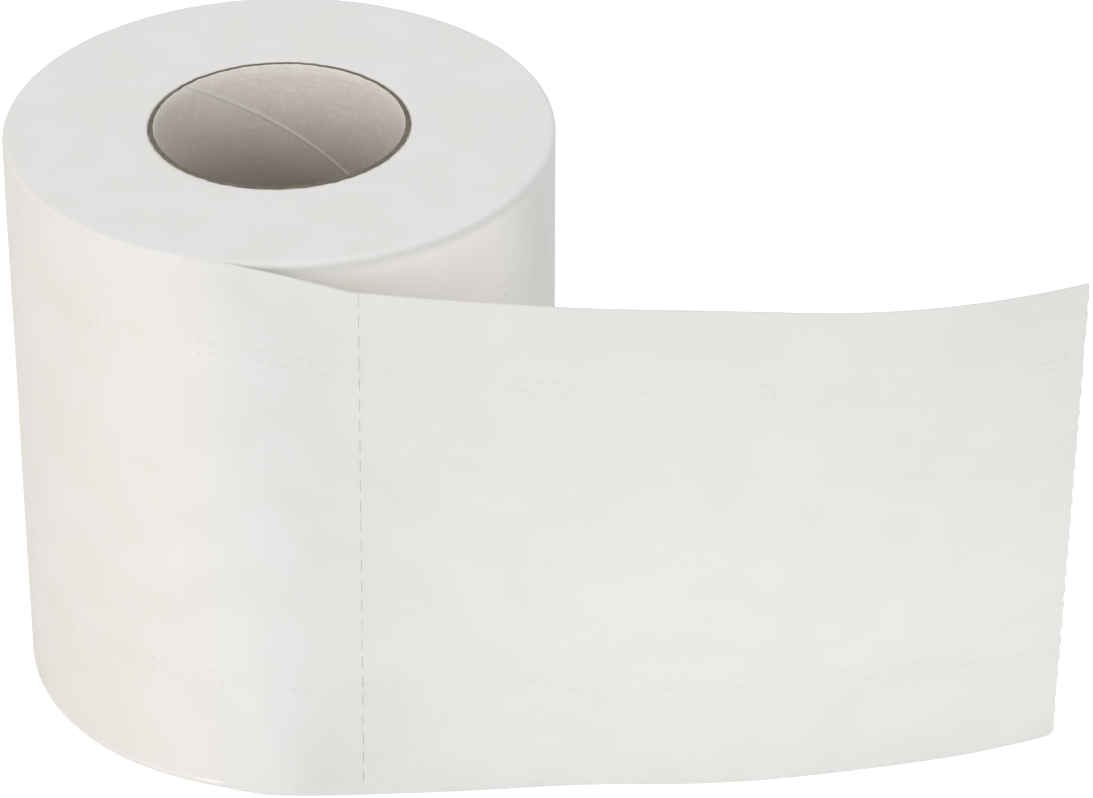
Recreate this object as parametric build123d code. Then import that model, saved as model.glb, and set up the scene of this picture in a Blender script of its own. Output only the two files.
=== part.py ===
"""Toilet paper roll standing on its end, with its last sheet pulled away from the roll.

Two pieces: the cardboard core tube and the paper, which is one continuous web from the
first turn on the core to the torn end of the last sheet.  The origin is on the roll's axis
at its lower face, +Z runs up the axis and +X points along the pulled sheet.
"""
import math
import os

from build123d import *

# roll
sheet_width = 100.0  # the height of the standing roll
roll_diameter = 88.0
upper_rim_radius = 1.0
lower_rim_radius = 2.2  # pressed in by standing on it
inner_rim_radius = 0.4

# core tube
core_bore = 40.0
core_wall = 0.9
core_clearance = 0.1  # on the radius, between the core and the first turn

# pulled paper, in lengths along the paper
paper_thickness = 0.3  # two plies with their embossed bulk
leave_angle = -105.0  # where the last turn starts to leave the roll, seen from above
peel_length = 12.0  # over this length the last turn lifts off
bridge_length = 14.0  # from there to the perforation
sheet_length = 114.0  # from the perforation to the torn end
tuck_depth = 0.15  # the start of the last turn lies this deep in the roll
tuck_length = 7.0  # over this length its edges come out of the rims
foot_lift = 0.03  # the leaning paper's middle plane starts this far above the table

# degrees that the lower and the upper edge turn towards the back over each stretch
peel_turns = (14.5, -8.0)
bridge_turns = (4.0, -0.5)
fold_turns = (0.0, 15.5)
sheet_turns = ((2.5, 3.5), (-6.5, 3.0), (10.5, 2.0), (4.0, 12.0), (11.0, 12.0))
fold_length = 2.0  # the paper bends softly at its perforation
station_step = 2.5  # spacing of the points that carry each edge

# perforation and torn end
slit_length = 2.45
slit_pitch = 3.95
slit_width = 0.3
tear_depth = 0.15  # half a slit is left along the torn end
perforation_skew = 2.8  # the line's lower end is this much nearer the roll
corner_radius = 1.5  # lower corner of the torn end

roll_radius = roll_diameter / 2
core_radius = core_bore / 2 + core_wall
paper_bore_radius = core_radius + core_clearance


def core_tube():
    """Cardboard tube, open at both ends and sawn flush with the paper."""
    ring = Circle(core_radius) - Circle(core_bore / 2)
    return extrude(ring, sheet_width)


def wound_paper():
    """All the turns on the core as one ring with rounded rims."""
    depth = roll_radius - paper_bore_radius
    section = Pos(paper_bore_radius, 0) * Rectangle(depth, sheet_width, align=(Align.MIN, Align.MIN))
    inner_low, inner_high, outer_low, outer_high = section.vertices().sort_by(lambda v: (v.X, v.Y))
    section = fillet((inner_low, inner_high), inner_rim_radius)
    outer_low, outer_high = section.vertices().group_by(Axis.X)[-1].sort_by(Axis.Y)
    section = fillet(outer_low, lower_rim_radius)
    outer_high = section.vertices().sort_by(lambda v: (v.X, v.Y))[-1]
    section = fillet(outer_high, upper_rim_radius)
    return revolve(Plane.XZ * section, Axis.Z)


def stretches():
    """Every stretch of the pulled paper, from roll to torn end: its length and two turns."""
    half_fold = fold_length / 2
    share = sheet_length / len(sheet_turns)
    rows = [
        (peel_length, peel_turns),
        (bridge_length - half_fold, bridge_turns),
        (fold_length, fold_turns),
        (share - half_fold, sheet_turns[0]),
    ]
    for turns in sheet_turns[1:]:
        rows.append((share, turns))
    return rows


def plan_path(edge):
    """One edge of the pulled paper seen from above, a chain of tangent arcs: length, x, y."""
    angle = math.radians(leave_angle)
    start_radius = roll_radius - tuck_depth - paper_thickness / 2
    x = start_radius * math.cos(angle)
    y = start_radius * math.sin(angle)
    heading = angle + math.pi / 2
    done = 0.0
    path = [(done, x, y)]
    for length, turns in stretches():
        count = math.ceil(length / station_step)
        step = length / count
        turn = math.radians(turns[edge]) / count
        for _ in range(count):
            x += step * math.cos(heading + turn / 2)
            y += step * math.sin(heading + turn / 2)
            heading += turn
            done += step
            path.append((done, x, y))
    return path


def paper_edges():
    """Lower and upper edge of the pulled paper as curves, one sheet width apart."""
    lower = []
    upper = []
    for (done, x0, y0), (_, x1, y1) in zip(plan_path(0), plan_path(1)):
        out_of_rim = max(0.0, 1 - done / tuck_length) ** 2
        lean = math.hypot(x1 - x0, y1 - y0)
        rise = math.sqrt(sheet_width**2 - lean**2)
        lower.append((x0, y0, foot_lift + lower_rim_radius * out_of_rim))
        upper.append((x1, y1, rise - foot_lift - upper_rim_radius * out_of_rim))
    return Spline(*lower), Spline(*upper)


def slit_row(lower_end, upper_end, direction, width):
    """Cutters for a row of slits, counted down from the upper edge of the paper."""
    line = lower_end - upper_end
    count = int((line.length - slit_length) / slit_pitch) + 1
    cutters = []
    for number in range(count):
        middle = upper_end + line.normalized() * (slit_length / 2 + number * slit_pitch)
        place = Plane(middle, x_dir=direction, z_dir=line)
        cutters.append(place * Box(width, 4 * paper_thickness, slit_length))
    return cutters


def pulled_paper():
    """The end of the last turn and the free sheet, with its perforation and torn end."""
    lower, upper = paper_edges()
    sheet = thicken(Face.make_surface_from_curves(lower, upper), paper_thickness / 2, both=True)
    short_edges = sheet.edges().filter_by(lambda edge: edge.length < 1.5 * paper_thickness)
    sheet = fillet(short_edges.sort_by_distance(lower @ 1)[0], corner_radius)
    line_at = (peel_length + bridge_length) / lower.length
    half_skew = perforation_skew / 2 / lower.length
    low_end = lower @ (line_at - half_skew)
    high_end = upper @ (line_at + half_skew)
    perforation = slit_row(low_end, high_end, lower % line_at, slit_width)
    torn_end = slit_row(lower @ 1, upper @ 1, lower % 1, 2 * tear_depth)
    return sheet - perforation - torn_end


os.makedirs("parts", exist_ok=True)
export_step(core_tube(), "parts/core_tube.step")
export_step(wound_paper() + pulled_paper(), "parts/paper_web.step")
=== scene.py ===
import bisect
import math
import random

import bpy
from mathutils import Matrix, Vector, noise


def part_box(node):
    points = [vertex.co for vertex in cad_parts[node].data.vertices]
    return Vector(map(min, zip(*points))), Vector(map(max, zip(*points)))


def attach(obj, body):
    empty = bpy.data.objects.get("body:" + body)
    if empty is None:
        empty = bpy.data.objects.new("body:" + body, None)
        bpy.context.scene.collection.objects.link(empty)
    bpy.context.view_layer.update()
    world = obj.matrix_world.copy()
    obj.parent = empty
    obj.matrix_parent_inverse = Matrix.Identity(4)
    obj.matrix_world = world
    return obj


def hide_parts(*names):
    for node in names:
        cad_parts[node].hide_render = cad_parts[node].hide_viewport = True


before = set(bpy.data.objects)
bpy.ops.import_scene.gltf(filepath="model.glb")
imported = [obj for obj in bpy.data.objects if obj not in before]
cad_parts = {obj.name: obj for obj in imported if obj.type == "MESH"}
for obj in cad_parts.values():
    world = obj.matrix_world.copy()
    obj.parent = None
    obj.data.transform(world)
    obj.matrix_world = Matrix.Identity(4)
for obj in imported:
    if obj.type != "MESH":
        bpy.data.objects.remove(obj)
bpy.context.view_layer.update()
dice = random.Random(11)
mm = 0.001

webLow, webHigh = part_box("paper_web")
coreLow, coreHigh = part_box("core_tube")
rollRadius = -webLow.x
rollWidth = webHigh.z
leaveAngle = math.radians(-105)  # where the last turn leaves the roll
leaveRun = leaveAngle * rollRadius
girth = 2 * math.pi * rollRadius
wrapDegrees = 120  # how much of the last turn is modelled with the pulled sheet
wrapLength = math.radians(wrapDegrees) * rollRadius
print("stage: frame loaded, roll radius", round(rollRadius, 4), "width", round(rollWidth, 4))


def colour(code):
    parts = [int(code[i : i + 2], 16) / 255 for i in (1, 3, 5)]
    return [c / 12.92 if c <= 0.04045 else ((c + 0.055) / 1.055) ** 2.4 for c in parts] + [1.0]


def addNode(tree, kind, settings=None, sockets=None, out=0):
    node = tree.nodes.new(kind)
    for key, value in (settings or {}).items():
        setattr(node, key, value)
    for key, value in (sockets or {}).items():
        if isinstance(value, bpy.types.NodeSocket):
            tree.links.new(value, node.inputs[key])
        else:
            node.inputs[key].default_value = value
    return node.outputs[out]


def newMaterial(name):
    material = bpy.data.materials.new(name)
    material.use_nodes = True
    tree = material.node_tree
    return material, tree, tree.nodes["Principled BSDF"]


def sideSwell(angle, height):
    place = Vector((math.cos(angle) * 1.4, math.sin(angle) * 1.4, height / 0.035))
    return 0.1 * mm * noise.noise(place) + 0.03 * mm * noise.noise(place * 4.0)


def gridMesh(name, points, run, closedColumns=False, closedRows=False, skip=None):
    rows = len(points)
    columns = len(points[0])
    faces = []
    places = []
    for i in range(rows if closedRows else rows - 1):
        for j in range(columns if closedColumns else columns - 1):
            if skip and skip(i, j):
                continue
            up = (i + 1) % rows
            side = (j + 1) % columns
            faces.append((i * columns + j, i * columns + side, up * columns + side, up * columns + j))
            places += [run(i, j), run(i, j + 1), run(i + 1, j + 1), run(i + 1, j)]
    mesh = bpy.data.meshes.new(name)
    mesh.from_pydata([p for row in points for p in row], [], faces)
    layer = mesh.uv_layers.new(name="run")
    layer.data.foreach_set("uv", [value for place in places for value in place])
    mesh.polygons.foreach_set("use_smooth", [True] * len(mesh.polygons))
    piece = bpy.data.objects.new(name, mesh)
    bpy.context.scene.collection.objects.link(piece)
    return piece


def arc(centreR, centreZ, radius, start, end, count):
    steps = [math.radians(start + (end - start) * i / count) for i in range(count + 1)]
    return [(centreR + radius * math.cos(a), centreZ + radius * math.sin(a)) for a in steps]


def tissuePaper(name, through):
    material, tree, shader = newMaterial(name)
    run = addNode(tree, "ShaderNodeUVMap", {"uv_map": "run"})
    parts = tree.nodes.new("ShaderNodeSeparateXYZ")
    tree.links.new(run, parts.inputs[0])
    along, height = parts.outputs[0], parts.outputs[1]
    # fine crepe ridges parallel to the axis, and loose fibres, break up the flat white
    crepeCoord = addNode(tree, "ShaderNodeVectorMath", {"operation": "MULTIPLY"}, {0: run, 1: (2400, 260, 1)})
    crepe = addNode(tree, "ShaderNodeTexNoise", {}, {"Vector": crepeCoord, "Scale": 1.0, "Detail": 3.0})
    fibreCoord = addNode(tree, "ShaderNodeTexCoord", out=3)
    fibre = addNode(tree, "ShaderNodeTexNoise", {}, {"Vector": fibreCoord, "Scale": 1500.0, "Detail": 4.0})
    cloud = addNode(tree, "ShaderNodeTexNoise", {}, {"Vector": fibreCoord, "Scale": 90.0, "Detail": 3.0})
    # two rows of small pressed ticks hold the plies together near each edge
    ticks = None
    for level in tissue["tickLevels"]:
        offset = addNode(tree, "ShaderNodeMath", {"operation": "SUBTRACT"}, {0: height, 1: level})
        offset = addNode(tree, "ShaderNodeMath", {"operation": "ABSOLUTE"}, {0: offset})
        offset = addNode(tree, "ShaderNodeMath", {"operation": "SUBTRACT"}, {0: offset, 1: tissue["rowGap"] / 2})
        offset = addNode(tree, "ShaderNodeMath", {"operation": "ABSOLUTE"}, {0: offset})
        band = addNode(
            tree, "ShaderNodeMapRange", {"interpolation_type": "SMOOTHSTEP"},
            {"Value": offset, "From Min": 0.6 * mm, "From Max": 0.1 * mm},
        )
        ticks = band if ticks is None else addNode(tree, "ShaderNodeMath", {"operation": "ADD"}, {0: ticks, 1: band})
    wobble = addNode(tree, "ShaderNodeMath", {"operation": "MULTIPLY"}, {0: height, 1: 0.9})
    phase = addNode(tree, "ShaderNodeMath", {"operation": "ADD"}, {0: along, 1: wobble})
    phase = addNode(tree, "ShaderNodeMath", {"operation": "DIVIDE"}, {0: phase, 1: tissue["tickPitch"]})
    phase = addNode(tree, "ShaderNodeMath", {"operation": "FRACT"}, {0: phase})
    phase = addNode(tree, "ShaderNodeMath", {"operation": "SUBTRACT"}, {0: phase, 1: 0.5})
    phase = addNode(tree, "ShaderNodeMath", {"operation": "ABSOLUTE"}, {0: phase})
    tick = addNode(
        tree, "ShaderNodeMapRange", {"interpolation_type": "SMOOTHSTEP"},
        {"Value": phase, "From Min": 0.24, "From Max": 0.12},
    )
    patchCoord = addNode(tree, "ShaderNodeVectorMath", {"operation": "MULTIPLY"}, {0: run, 1: (160, 40, 1)})
    patch = addNode(tree, "ShaderNodeTexNoise", {}, {"Vector": patchCoord, "Scale": 1.0, "Detail": 2.0})
    patch = addNode(tree, "ShaderNodeMapRange", {}, {"Value": patch, "From Min": 0.42, "From Max": 0.6})
    ticks = addNode(tree, "ShaderNodeMath", {"operation": "MULTIPLY"}, {0: ticks, 1: tick})
    ticks = addNode(tree, "ShaderNodeMath", {"operation": "MULTIPLY"}, {0: ticks, 1: patch})
    if through:
        # painted light and shade: the pulled sheet is warmer and darker where it lies on the roll, which warms and
        # dims it, and brighter away from the roll, darkening towards its top
        share = addNode(
            tree, "ShaderNodeMapRange", {"interpolation_type": "SMOOTHSTEP"},
            {"Value": along, "From Min": leaveRun - 8 * mm, "From Max": leaveRun + 14 * mm},
        )
        loose = addNode(
            tree, "ShaderNodeMapRange", {"interpolation_type": "SMOOTHSTEP"},
            {"Value": along, "From Min": leaveRun - 8 * mm, "From Max": leaveRun + 22 * mm, "To Max": through},
        )
        # painted warm shade: mask of the warmer, darker tone on the wrapped part of the pulled sheet, fading in over
        # the first 40 mm of the wrap
        warmShadeMask = addNode(
            tree, "ShaderNodeMapRange", {"interpolation_type": "SMOOTHSTEP"},
            {"Value": along, "From Min": leaveRun - wrapLength, "From Max": leaveRun - wrapLength + 40 * mm},
        )
        base = addNode(
            tree, "ShaderNodeMixRGB", {"blend_type": "MIX"},
            {0: warmShadeMask, 1: colour(tissue["paper"]), 2: colour(tissue["wrapWarmShade"])},
        )
        # painted shade: the free sheet's tone darkens from about a third of its height up to its top edge
        shade = addNode(
            tree, "ShaderNodeMapRange", {},
            {"Value": height, "From Min": rollWidth * 0.35, "From Max": rollWidth},
        )
        paintedLightTone = addNode(
            tree, "ShaderNodeMixRGB", {"blend_type": "MIX"},
            {0: shade, 1: colour(tissue["singleLit"]), 2: colour(tissue["singleTopShade"])},
        )
    else:
        # painted light: the side of the turn that the pulled sheet has just uncovered gets a brighter paper tone,
        # away from the top rim
        share = None
        for value, low, high in (
            (along, leaveRun + girth - 6 * mm, leaveRun + girth + 3 * mm),
            (along, girth - 12 * mm, girth - 34 * mm),
            (height, rollWidth - 0.6 * mm, rollWidth - 3 * mm),
        ):
            part = addNode(
                tree, "ShaderNodeMapRange", {"interpolation_type": "SMOOTHSTEP"},
                {"Value": value, "From Min": low, "From Max": high},
            )
            if share is not None:
                part = addNode(tree, "ShaderNodeMath", {"operation": "MULTIPLY"}, {0: share, 1: part})
            share = part
        base, paintedLightTone = colour(tissue["paper"]), colour(tissue["uncoveredLit"])
    # painted light: share blends the base tone into the brighter painted-light tone
    tint = addNode(
        tree, "ShaderNodeMixRGB", {"blend_type": "MIX"},
        {0: share, 1: base, 2: paintedLightTone},
    )
    cloud = addNode(tree, "ShaderNodeMapRange", {}, {"Value": cloud, "From Min": 0.3, "From Max": 0.7})
    tint = addNode(tree, "ShaderNodeMixRGB", {"blend_type": "MULTIPLY"}, {0: cloud, 1: tint, 2: colour(tissue["cloud"])})
    tint = addNode(
        tree, "ShaderNodeMixRGB", {"blend_type": "MULTIPLY"}, {0: ticks, 1: tint, 2: colour(tissue["pressed"])}
    )
    tree.links.new(tint, shader.inputs["Base Color"])
    bump = addNode(tree, "ShaderNodeBump", {}, {"Strength": 0.35, "Distance": 0.03 * mm, "Height": crepe})
    bump = addNode(tree, "ShaderNodeBump", {}, {"Strength": 0.3, "Distance": 0.02 * mm, "Height": fibre, "Normal": bump})
    bump = addNode(
        tree, "ShaderNodeBump", {"invert": True},
        {"Strength": 0.45, "Distance": 0.045 * mm, "Height": ticks, "Normal": bump},
    )
    tree.links.new(bump, shader.inputs["Normal"])
    shader.inputs["Roughness"].default_value = 0.92
    shader.inputs["IOR"].default_value = 1.47
    shader.inputs["Specular IOR Level"].default_value = 0.25
    shader.inputs["Sheen Weight"].default_value = 0.08
    shader.inputs["Sheen Roughness"].default_value = 0.6
    if through:
        # one loose sheet is thin enough for some light to pass
        glow = addNode(tree, "ShaderNodeBsdfTranslucent", {}, {"Color": colour(tissue["through"]), "Normal": bump})
        both = addNode(tree, "ShaderNodeMixShader", {}, {0: loose, 1: shader.outputs[0], 2: glow})
        tree.links.new(both, tree.nodes["Material Output"].inputs["Surface"])
    return material


def cardBoard(name, base, speck, seam):
    material, tree, shader = newMaterial(name)
    run = addNode(tree, "ShaderNodeUVMap", {"uv_map": "run"})
    # short fibres lie round the tube, so the streaks are long round it and thin along it
    streakCoord = addNode(tree, "ShaderNodeVectorMath", {"operation": "MULTIPLY"}, {0: run, 1: (120, 2200, 1)})
    streak = addNode(tree, "ShaderNodeTexNoise", {}, {"Vector": streakCoord, "Scale": 1.0, "Detail": 4.0})
    spot = addNode(tree, "ShaderNodeTexCoord", out=3)
    spot = addNode(tree, "ShaderNodeTexNoise", {}, {"Vector": spot, "Scale": 900.0, "Detail": 3.0})
    mixed = addNode(tree, "ShaderNodeMath", {"operation": "MULTIPLY"}, {0: streak, 1: spot})
    mixed = addNode(tree, "ShaderNodeMapRange", {}, {"Value": mixed, "From Min": 0.08, "From Max": 0.45})
    tint = addNode(tree, "ShaderNodeMixRGB", {"blend_type": "MIX"}, {0: mixed, 1: colour(speck), 2: colour(base)})
    bump = addNode(tree, "ShaderNodeBump", {}, {"Strength": 0.3, "Distance": 0.03 * mm, "Height": mixed})
    if seam:
        parts = tree.nodes.new("ShaderNodeSeparateXYZ")
        tree.links.new(run, parts.inputs[0])
        # the wound ply's edge shows as one pale helical line
        turned = addNode(tree, "ShaderNodeMath", {"operation": "DIVIDE"}, {0: parts.outputs[0], 1: core["girth"]})
        rise = addNode(tree, "ShaderNodeMath", {"operation": "DIVIDE"}, {0: parts.outputs[1], 1: core["helixRise"]})
        phase = addNode(tree, "ShaderNodeMath", {"operation": "SUBTRACT"}, {0: rise, 1: turned})
        phase = addNode(tree, "ShaderNodeMath", {"operation": "SUBTRACT"}, {0: phase, 1: core["helixPhase"]})
        phase = addNode(tree, "ShaderNodeMath", {"operation": "ADD"}, {0: phase, 1: 10.5})
        phase = addNode(tree, "ShaderNodeMath", {"operation": "FRACT"}, {0: phase})
        phase = addNode(tree, "ShaderNodeMath", {"operation": "SUBTRACT"}, {0: phase, 1: 0.5})
        phase = addNode(tree, "ShaderNodeMath", {"operation": "ABSOLUTE"}, {0: phase})
        halfWidth = core["seamWidth"] / 2 / core["helixRise"]
        line = addNode(
            tree, "ShaderNodeMapRange", {"interpolation_type": "SMOOTHSTEP"},
            {"Value": phase, "From Min": halfWidth * 1.5, "From Max": halfWidth * 0.5},
        )
        lip = addNode(
            tree, "ShaderNodeMapRange", {"interpolation_type": "SMOOTHSTEP"},
            {"Value": parts.outputs[1], "From Min": rollWidth - 0.5 * mm, "From Max": rollWidth - 0.2 * mm},
        )
        # painted light and shade: the board is kept pale near the ends and darkened towards the middle of the tube,
        # standing in for the light at the mouth and the shade deep in the bore
        deep = addNode(tree, "ShaderNodeMath", {"operation": "SUBTRACT"}, {0: parts.outputs[1], 1: rollWidth / 2})
        deep = addNode(tree, "ShaderNodeMath", {"operation": "ABSOLUTE"}, {0: deep})
        deep = addNode(
            tree, "ShaderNodeMapRange", {"interpolation_type": "SMOOTHSTEP"},
            {"Value": deep, "From Min": rollWidth / 2, "From Max": rollWidth / 2 - core["deepReach"]},
        )
        tint = addNode(tree, "ShaderNodeMixRGB", {"blend_type": "MULTIPLY"}, {0: deep, 1: tint, 2: colour(core["deep"])})
        pale = addNode(tree, "ShaderNodeMath", {"operation": "MULTIPLY"}, {0: line, 1: 0.65})
        tint = addNode(tree, "ShaderNodeMixRGB", {"blend_type": "MIX"}, {0: pale, 1: tint, 2: colour(core["seam"])})
        tint = addNode(tree, "ShaderNodeMixRGB", {"blend_type": "MIX"}, {0: lip, 1: tint, 2: colour(core["lip"])})
        bump = addNode(
            tree, "ShaderNodeBump", {}, {"Strength": 0.7, "Distance": 0.12 * mm, "Height": line, "Normal": bump}
        )
    tree.links.new(tint, shader.inputs["Base Color"])
    tree.links.new(bump, shader.inputs["Normal"])
    shader.inputs["Roughness"].default_value = 0.85
    shader.inputs["IOR"].default_value = 1.5
    shader.inputs["Specular IOR Level"].default_value = 0.3
    return material


# the turns of paper, wound round the core
wound = {
    "upperRim": 1.0 * mm,
    "lowerRim": 2.2 * mm,
    "innerRim": 0.4 * mm,
    "bore": coreHigh.x + 0.1 * mm,
    "columns": 360,
    "lipAngle": 38.0,  # degrees, where the outer turn's edge stands up a little
    "lipWidth": 3.0,
    "lipHeight": 0.35 * mm,
}

tissue = {
    "paper": "#e8e7e6",
    # painted warm shade on the wrapped part of the pulled sheet
    "wrapWarmShade": "#e5e2de",
    "pressed": "#f8f7f6",
    "cloud": "#fbfbfa",
    # painted light: brighter tone for the pulled sheet away from the roll
    "singleLit": "#f3f4f4",
    # painted shade: darker tone for the top of that sheet
    "singleTopShade": "#eaebeb",
    # painted light: brighter tone for the turn just uncovered behind the pulled sheet
    "uncoveredLit": "#fffcf8",
    "through": "#f7f5f1",
    "tickLevels": (22.5 * mm, rollWidth - 15.5 * mm),
    "rowGap": 2.0 * mm,
    "tickPitch": 2.0 * mm,
}


def woundProfile():
    w = wound
    outerLow = rollRadius - w["lowerRim"]
    outerHigh = rollRadius - w["upperRim"]
    innerR = w["bore"] + w["innerRim"]
    line = [(innerR + (outerLow - innerR) * i / 14, 0.0) for i in range(14)]
    line += arc(outerLow, w["lowerRim"], w["lowerRim"], -90, 0, 12)
    sideLength = rollWidth - w["lowerRim"] - w["upperRim"]
    line += [(rollRadius, w["lowerRim"] + sideLength * i / 56) for i in range(1, 56)]
    line += arc(outerHigh, rollWidth - w["upperRim"], w["upperRim"], 0, 90, 8)
    line += [(outerHigh + (innerR - outerHigh) * i / 24, rollWidth) for i in range(1, 24)]
    line += arc(innerR, rollWidth - w["innerRim"], w["innerRim"], 90, 180, 4)
    boreLength = rollWidth - 2 * w["innerRim"]
    line += [(w["bore"], rollWidth - w["innerRim"] - boreLength * i / 8) for i in range(1, 8)]
    line += arc(innerR, w["innerRim"], w["innerRim"], 180, 270, 4)[:-1]
    return line


def buildWound():
    profile = woundProfile()
    columns = wound["columns"]
    points = []
    for r, z in profile:
        row = []
        share = (r / rollRadius) ** 4
        for j in range(columns):
            angle = 2 * math.pi * j / columns
            reach = r + sideSwell(angle, z) * share
            level = z
            away = (math.degrees(angle) - wound["lipAngle"]) / wound["lipWidth"]
            lip = wound["lipHeight"] * math.exp(-away * away)
            if z > rollWidth - 1.5 * mm and r > rollRadius - 2.0 * mm:
                reach += lip * 0.6 * (r - rollRadius + 2.0 * mm) / (2.0 * mm)
            if z > rollWidth - 0.05 * mm:
                place = Vector((reach * math.cos(angle), reach * math.sin(angle), 0.0)) * 120
                level += 0.06 * mm * noise.noise(place)
            row.append((reach * math.cos(angle), reach * math.sin(angle), level))
        points.append(row)

    def run(i, j):
        angle = 2 * math.pi * j / columns
        r, z = profile[i % len(profile)]
        return (angle * rollRadius, z)

    piece = gridMesh("woundRoll", points, run, closedColumns=True, closedRows=True)
    piece.data.set_sharp_from_angle(angle=math.radians(70))
    return piece


woundRoll = buildWound()
print("stage: wound roll", len(woundRoll.data.polygons), "faces")

# the last turn, the perforation and the sheet that stands away from the roll
pulled = {
    "leave": leaveAngle,
    "thickness": 0.3 * mm,
    "proud": 0.01 * mm,
    "footLift": 0.03 * mm,
    "tuck": 16 * mm,
    "tuckStart": 4 * mm,
    "bury": 0.05 * mm,
    "hemLift": 0.2 * mm,
    "stretches": [  # length in mm, then degrees turned by the lower and the upper edge
        (12, (14.5, -8.0)),
        (13, (4.0, -0.5)),
        (2, (0.0, 15.5)),
        (21.8, (2.5, 3.5)),
        (22.8, (-6.5, 3.0)),
        (22.8, (10.5, 2.0)),
        (22.8, (4.0, 12.0)),
        (22.8, (11.0, 12.0)),
    ],
    "fineStep": 0.25,
    "perforation": 26 * mm,
    "skew": 2.8 * mm,
    "skewReach": 13 * mm,
    "slitPitch": 3.95 * mm,
    "slitLength": 2.45 * mm,
    "slitWidth": 0.08 * mm,
    "column": 0.7 * mm,
    "nub": 0.25 * mm,
    "corner": 1.5 * mm,
    "ripple": 0.22 * mm,
}


def edgePath(edge):
    radius = rollRadius - pulled["thickness"] / 2 + pulled["proud"]
    x = radius * math.cos(pulled["leave"])
    y = radius * math.sin(pulled["leave"])
    heading = pulled["leave"] + math.pi / 2
    stops = [(0.0, x, y)]
    for length, turns in pulled["stretches"]:
        count = math.ceil(length / pulled["fineStep"])
        step = length * mm / count
        turn = math.radians(turns[edge]) / count
        for _ in range(count):
            x += step * math.cos(heading + turn / 2)
            y += step * math.sin(heading + turn / 2)
            heading += turn
            stops.append((stops[-1][0] + step, x, y))
    return stops


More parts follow.
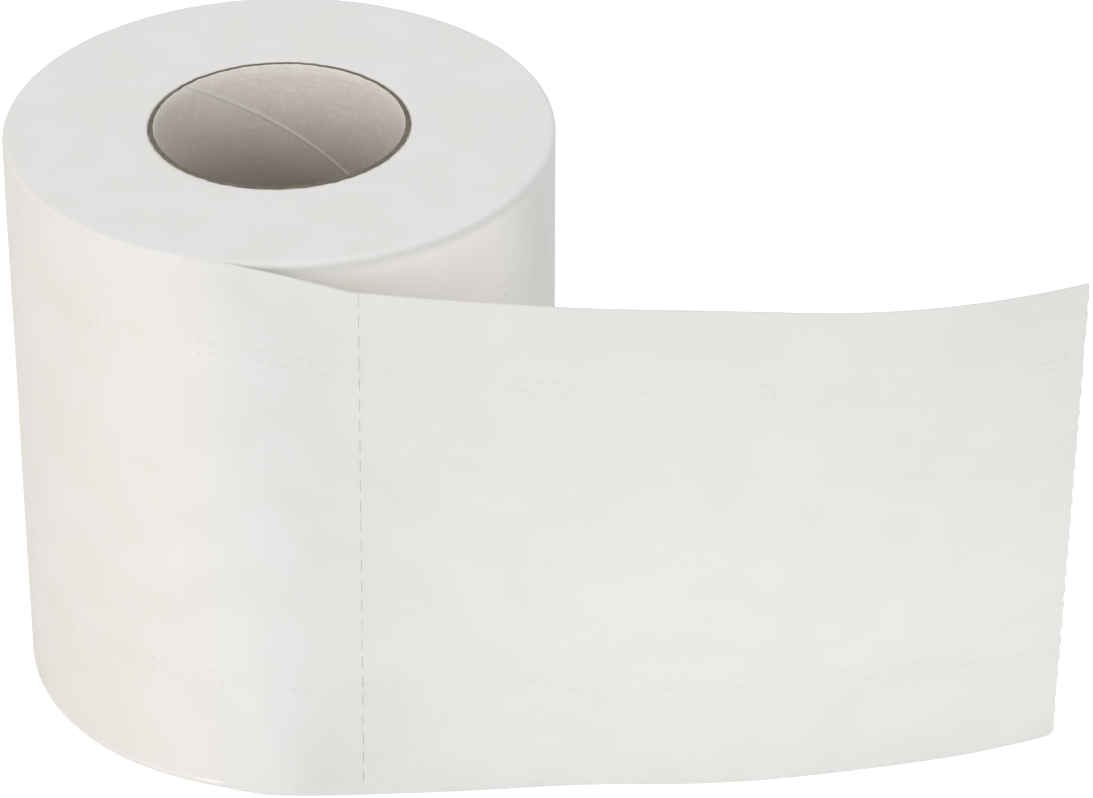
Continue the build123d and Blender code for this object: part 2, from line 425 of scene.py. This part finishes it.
def buildPulled():
    p = pulled
    lowerPath = edgePath(0)
    upperPath = edgePath(1)
    distances = [stop[0] for stop in lowerPath]
    total = distances[-1]
    radius = rollRadius - p["thickness"] / 2 + p["proud"]

    def rimInset(z, hold):
        inset = 0.0
        for rim, away in ((wound["lowerRim"], z), (wound["upperRim"], rollWidth - z)):
            middle = rim - p["thickness"] / 2 + p["proud"]
            if away < rim:
                inset += middle - math.sqrt(max(0.0, middle**2 - (rim - away) ** 2))
        return inset * hold

    def place(s, v):
        onset = min(1.0, max(0.0, (s + p["tuckStart"]) / p["tuck"]))
        hold = 1 - onset * onset * (3 - 2 * onset)
        if s < 0:
            angle = p["leave"] + s / radius
            low = p["footLift"] + p["hemLift"] * hold
            high = rollWidth - p["footLift"] - p["hemLift"] * hold
            z = low + (high - low) * v
            margin = min(v, 1 - v) * rollWidth
            buried = p["bury"] * max(0.0, 1 - margin / (0.4 * mm)) * hold
            reach = radius + sideSwell(angle, z) - buried - rimInset(z, hold)
            return Vector((reach * math.cos(angle), reach * math.sin(angle), z))
        s = min(s, total)
        k = min(max(bisect.bisect_right(distances, s) - 1, 0), len(distances) - 2)
        t = (s - distances[k]) / (distances[k + 1] - distances[k])
        low = Vector([lowerPath[k][n] + (lowerPath[k + 1][n] - lowerPath[k][n]) * t for n in (1, 2)])
        high = Vector([upperPath[k][n] + (upperPath[k + 1][n] - upperPath[k][n]) * t for n in (1, 2)])
        lean = (high - low).length
        zLow = p["footLift"] + p["hemLift"] * hold
        zHigh = math.sqrt(rollWidth**2 - lean**2) - p["footLift"] - p["hemLift"] * hold
        flat = low + (high - low) * v
        z = zLow + (zHigh - zLow) * v
        fade = max(0.0, 1 - s / (10 * mm))
        push = sideSwell(math.atan2(flat.y, flat.x), z) * fade - rimInset(z, hold)
        outward = flat.normalized()
        loose = min(1.0, s / (40 * mm))
        wave = p["ripple"] * loose * noise.noise(Vector((s / 0.03, z / 0.05, 3.7)))
        return Vector((flat.x + outward.x * push, flat.y + outward.y * push - wave, z))

    columns = [-math.radians(i) * radius for i in range(wrapDegrees, 0, -1)]
    free = [total * i / round(total / p["column"]) for i in range(round(total / p["column"]) + 1)]
    columns += [s for s in free if abs(s - p["perforation"]) > 0.6 * mm]
    half = p["slitWidth"] / 2
    columns += [p["perforation"] - half, p["perforation"] + half]
    columns += [p["perforation"] - 0.45 * mm, p["perforation"] + 0.45 * mm, total - 0.25 * mm]
    columns.sort()
    slitColumn = min(range(len(columns)), key=lambda i: abs(columns[i] - p["perforation"] + half))
    drops = []
    cut = []
    slits = int(rollWidth / p["slitPitch"])
    for drop in (0.0, 0.15 * mm, 0.35 * mm, 0.6 * mm, 0.9 * mm):
        drops.append(drop)
        cut.append(True)
    for k in range(slits):
        for part, inside in ((0.0, True), (p["slitLength"] / 2, True), (p["slitLength"], False), (3.2 * mm, False)):
            if k or part:
                drops.append(k * p["slitPitch"] + part)
                cut.append(inside)
    for drop in (slits * p["slitPitch"], 99.1 * mm, 99.4 * mm, 99.65 * mm, 99.85 * mm, rollWidth):
        drops.append(drop)
        cut.append(False)
    ragged = [dice.uniform(-0.06, 0.06) * mm + (0 if inside else p["nub"] * dice.uniform(0.4, 1.1)) for inside in cut]
    points = []
    for i, s in enumerate(columns):
        row = []
        for j, drop in enumerate(drops):
            v = 1 - drop / rollWidth
            bend = max(0.0, 1 - max(0.0, abs(s - p["perforation"]) - half) / p["skewReach"])
            here = s + p["skew"] * (v - 0.5) * bend
            if s > total - 3 * mm:
                short = p["corner"] - v * rollWidth
                back = p["corner"] - math.sqrt(p["corner"] ** 2 - short**2) if short > 0 else 0.0
                end = total - p["nub"] + ragged[j] - back
                here = total - 3 * mm + (s - total + 3 * mm) * (end - total + 3 * mm) / (3 * mm)
            spot = place(here, v)
            if i == slitColumn + 1 and cut[j]:
                spot.y -= 0.12 * mm
            row.append(spot)
        points.append(row)

    def run(i, j):
        return (leaveRun + columns[i], rollWidth - drops[j])

    piece = gridMesh("pulledSheet", points, run, skip=lambda i, j: i == slitColumn and cut[j])
    thick = piece.modifiers.new("thickness", "SOLIDIFY")
    thick.thickness = p["thickness"]
    thick.offset = 0.0
    evaluated = piece.evaluated_get(bpy.context.evaluated_depsgraph_get())
    solid = bpy.data.meshes.new_from_object(evaluated)
    piece.modifiers.clear()
    piece.data = solid
    solid.name = "pulledSheet"
    solid.set_sharp_from_angle(angle=math.radians(40))
    return piece


pulledSheet = buildPulled()
print("stage: pulled sheet", len(pulledSheet.data.polygons), "faces")

# the spiral-wound board tube, sawn off at both ends
core = {
    "inner": 20.0 * mm,
    "columns": 360,
    "ragged": 0.09 * mm,
    "girth": 2 * math.pi * 20.0 * mm,
    "helixRise": 85 * mm,
    "helixPhase": 99.0 / 85 - 136.5 / 360,
    "seamWidth": 0.7 * mm,
    "board": "#f7f2ec",
    "speck": "#e8e1d9",
    # painted shade deep inside the tube, and how far in it reaches
    "deep": "#bfbcb8",
    "deepReach": 30 * mm,
    "seam": "#f0ece5",
    "lip": "#f0ece5",
    "cut": "#827b70",
    "cutSpeck": "#5f594f",
}


def buildCore():
    outer = coreHigh.x
    inner = core["inner"]
    top = coreHigh.z
    profile = [(outer, 0.0), (outer, top / 2), (outer, top - 0.12 * mm), (outer - 0.15 * mm, top)]
    profile += [(inner + 0.45 * mm, top - 0.05 * mm), (inner + 0.1 * mm, top)]
    profile += [(inner, top - 0.15 * mm)]
    profile += [(inner, top - (top - 0.3 * mm) * i / 40) for i in range(1, 40)]
    profile += [(inner, 0.15 * mm), (inner + 0.1 * mm, 0.0), (inner + 0.45 * mm, 0.05 * mm)]
    columns = core["columns"]
    points = []
    for r, z in profile:
        row = []
        for j in range(columns):
            angle = 2 * math.pi * j / columns
            fray = noise.noise(Vector((math.cos(angle) * 14, math.sin(angle) * 14, z * 40)))
            nearEnd = z > top - 0.3 * mm or z < 0.3 * mm
            level = z + (core["ragged"] * fray if nearEnd else 0.0)
            reach = r + (0.05 * mm * fray if nearEnd and r < outer else 0.0)
            row.append((reach * math.cos(angle), reach * math.sin(angle), level))
        points.append(row)

    def run(i, j):
        r, z = profile[i % len(profile)]
        return (2 * math.pi * j / columns * inner, z)

    piece = gridMesh("coreTube", points, run, closedColumns=True, closedRows=True)
    cutRows = {2, 3, 4, len(profile) - 2, len(profile) - 1}
    for index, face in enumerate(piece.data.polygons):
        face.material_index = 1 if index // columns in cutRows else 0
    piece.data.set_sharp_from_angle(angle=math.radians(50))
    return piece


coreTube = buildCore()
print("stage: core tube", len(coreTube.data.polygons), "faces")

woundRoll.data.materials.append(tissuePaper("softTissue", 0.0))
pulledSheet.data.materials.clear()
pulledSheet.data.materials.append(tissuePaper("thinTissueSheet", 0.34))
coreTube.data.materials.append(cardBoard("greyBoardInner", core["board"], core["speck"], True))
coreTube.data.materials.append(cardBoard("greyBoardCut", core["cut"], core["cutSpeck"], False))

for piece in (woundRoll, pulledSheet, coreTube):
    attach(piece, "root")
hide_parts("paper_web")
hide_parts("paper_web")
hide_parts("core_tube")
print("stage: materials and frame calls")

# plain pale floor, soft studio light
floorMesh = bpy.data.meshes.new("studioFloor")
side = 4.0
floorMesh.from_pydata([(-side, -side, 0), (side, -side, 0), (side, side, 0), (-side, side, 0)], [], [(0, 1, 2, 3)])
floor = bpy.data.objects.new("studioFloor", floorMesh)
bpy.context.scene.collection.objects.link(floor)
material, tree, shader = newMaterial("mattePaleFloor")
shader.inputs["Base Color"].default_value = colour("#fafafa")
shader.inputs["Roughness"].default_value = 1.0
shader.inputs["Specular IOR Level"].default_value = 0.0
seen = addNode(tree, "ShaderNodeLightPath")
lift = addNode(tree, "ShaderNodeMath", {"operation": "MULTIPLY_ADD"}, {0: seen, 1: 0.2, 2: 0.17})
tree.links.new(lift, shader.inputs["Emission Strength"])
shader.inputs["Emission Color"].default_value = (1, 1, 1, 1)
floorMesh.materials.append(material)

world = bpy.data.worlds.new("softStudio")
bpy.context.scene.world = world
world.use_nodes = True
sky = world.node_tree.nodes["Background"]
way = addNode(world.node_tree, "ShaderNodeTexCoord")
spread = addNode(world.node_tree, "ShaderNodeSeparateXYZ", {}, {0: way})
tones = world.node_tree.nodes.new("ShaderNodeValToRGB")
tones.color_ramp.elements[0].color = colour("#dacabe")
tones.color_ramp.elements[1].color = colour("#c2c4c5")
for stop, tone in ((0.22, "#fffefd"), (0.75, "#fcfcfc")):
    tones.color_ramp.elements.new(stop).color = colour(tone)
across = addNode(world.node_tree, "ShaderNodeMapRange", {}, {"Value": spread, "From Min": -1.0, "From Max": 1.0})
world.node_tree.links.new(across, tones.inputs[0])
world.node_tree.links.new(tones.outputs[0], sky.inputs["Color"])
sky.inputs["Strength"].default_value = 0.79

lights = {
    "keySoft": ((-0.35, -1.25, 0.52), 0.6, 3.9, "#ffffff"),
    "topSoft": ((0.1, -0.1, 1.3), 0.9, 2.6, "#ffffff"),
}
for name, (spot, size, power, tone) in lights.items():
    lamp = bpy.data.lights.new(name, "AREA")
    lamp.size = size
    lamp.energy = power
    lamp.color = colour(tone)[:3]
    holder = bpy.data.objects.new(name, lamp)
    holder.location = spot
    holder.rotation_euler = (Vector((0, 0, 0.05)) - Vector(spot)).to_track_quat("-Z", "Y").to_euler()
    bpy.context.scene.collection.objects.link(holder)

view = {
    "lens": 171.27,
    "distance": 0.8553,
    "pitch": math.radians(31.96),
    "roll": math.radians(0.1),
    "aim": Vector((42.63, 0, 48.48)) * mm,
}
forward = Vector((0, math.cos(view["pitch"]), -math.sin(view["pitch"])))
right = Vector((1, 0, 0))
up = right.cross(forward)
turnedRight = right * math.cos(view["roll"]) + up * math.sin(view["roll"])
turnedUp = up * math.cos(view["roll"]) - right * math.sin(view["roll"])
camera = bpy.data.objects.new("camera", bpy.data.cameras.new("camera"))
camera.data.lens = view["lens"]
camera.data.sensor_width = 36
camera.data.sensor_fit = "HORIZONTAL"
camera.data.clip_start = 0.01
turn = Matrix((turnedRight, turnedUp, -forward)).transposed().to_4x4()
camera.matrix_world = Matrix.Translation(view["aim"] - forward * view["distance"]) @ turn
bpy.context.scene.collection.objects.link(camera)
bpy.context.scene.camera = camera
bpy.context.scene.view_settings.view_transform = "Standard"
print("stage: floor, light and camera")
